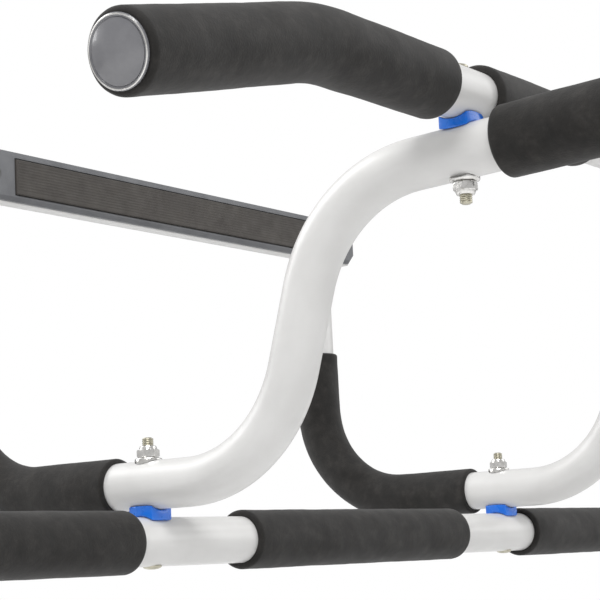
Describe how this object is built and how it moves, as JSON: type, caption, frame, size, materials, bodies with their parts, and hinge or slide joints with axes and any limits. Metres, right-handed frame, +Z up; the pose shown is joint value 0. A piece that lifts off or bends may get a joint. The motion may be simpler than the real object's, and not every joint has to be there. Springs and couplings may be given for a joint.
{
  "type": "doorway pull-up bar",
  "caption": "Doorway pull-up bar: two S-shaped side frames bolted to a lower and an upper crossbar with foam grips, and a padded hook bar behind.",
  "frame": {"origin": "centre of the wall pad's face", "axes": "+X along the crossbars to the right, +Y from the user towards the hook bar, +Z up"},
  "size_m": [1.0646, 0.6239, 0.3155],
  "materials": {
    "frame_paint": "satin powder coat",
    "foam": "matte closed-cell foam",
    "blue_plastic": "gloss",
    "chrome": "bright plated",
    "zinc": "yellowish zinc plated",
    "plug_plastic": "semi-gloss",
    "cover_plastic": "fine-grained satin",
    "pad_rubber": "matte"
  },
  "bodies": {
    "root": {"lower_bar": "frame_paint", "upper_bar": "frame_paint", "side_frame_left": "frame_paint", "side_frame_right": "frame_paint", "hook_bar": "frame_paint", "foam_lower_left": "foam", "foam_lower_centre": "foam", "foam_lower_right": "foam", "foam_upper_left": "foam", "foam_upper_inner_left": "foam", "foam_upper_inner_right": "foam", "foam_upper_right": "foam", "foam_bend_left": "foam", "foam_handle_left": "foam", "saddle_lower_left": "blue_plastic", "washer_lower_left": "chrome", "nut_lower_left": "chrome", "bolt_lower_left": "zinc", "plug_lower_left": "plug_plastic", "saddle_upper_left": "blue_plastic", "washer_upper_left": "chrome", "nut_upper_left": "chrome", "bolt_upper_left": "zinc", "plug_upper_left": "plug_plastic", "plug_frame_top_left": "plug_plastic", "plug_handle_left": "plug_plastic", "cover_screw_left": "zinc", "hook_nut_left": "chrome", "hook_bolt_left": "zinc", "foam_bend_right": "foam", "foam_handle_right": "foam", "saddle_lower_right": "blue_plastic", "washer_lower_right": "chrome", "nut_lower_right": "chrome", "bolt_lower_right": "zinc", "plug_lower_right": "plug_plastic", "saddle_upper_right": "blue_plastic", "washer_upper_right": "chrome", "nut_upper_right": "chrome", "bolt_upper_right": "zinc", "plug_upper_right": "plug_plastic", "plug_frame_top_right": "plug_plastic", "plug_handle_right": "plug_plastic", "cover_screw_right": "zinc", "hook_nut_right": "chrome", "hook_bolt_right": "zinc", "hook_cover": "cover_plastic", "wall_pad": "pad_rubber"}
  },
  "joints": []
}
